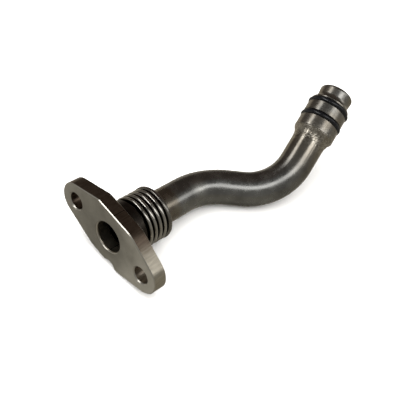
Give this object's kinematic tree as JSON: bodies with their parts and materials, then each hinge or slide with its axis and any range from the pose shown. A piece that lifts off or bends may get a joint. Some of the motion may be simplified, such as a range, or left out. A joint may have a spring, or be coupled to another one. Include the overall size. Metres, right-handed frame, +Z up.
{
  "type": "turbo oil line",
  "caption": "Bent steel oil line with a two-bolt flange, a short bellows behind it and an O-ring plug at the far end.",
  "frame": {"origin": "middle of the bounding box on the floor that the line rests on", "axes": "+Z up from the floor, +X from the flange towards the plug, as it comes to rest on its bellows ring, its tube and the edge of its flange"},
  "size_m": [0.1206, 0.0546, 0.0353],
  "materials": {
    "flange_steel": "stamped, tumbled face with faint brushing",
    "collar_steel": "heat-darkened by brazing",
    "bellows_steel": "formed stainless, dark roots and bright crests",
    "ring_steel": "turned rim, dark step",
    "tube_steel": "drawn tube, gunmetal brown, a few rust specks",
    "plug_steel": "turned, nickel plated, rough braze at the base",
    "ring_rubber": "oiled black rubber"
  },
  "bodies": {
    "root": {"flange_plate": "flange_steel", "bellows_collar": "collar_steel", "bellows": "bellows_steel", "bellows_end_ring": "ring_steel", "bent_tube": "tube_steel", "plug": "plug_steel", "lower_o_ring": "ring_rubber", "upper_o_ring": "ring_rubber"}
  },
  "joints": []
}
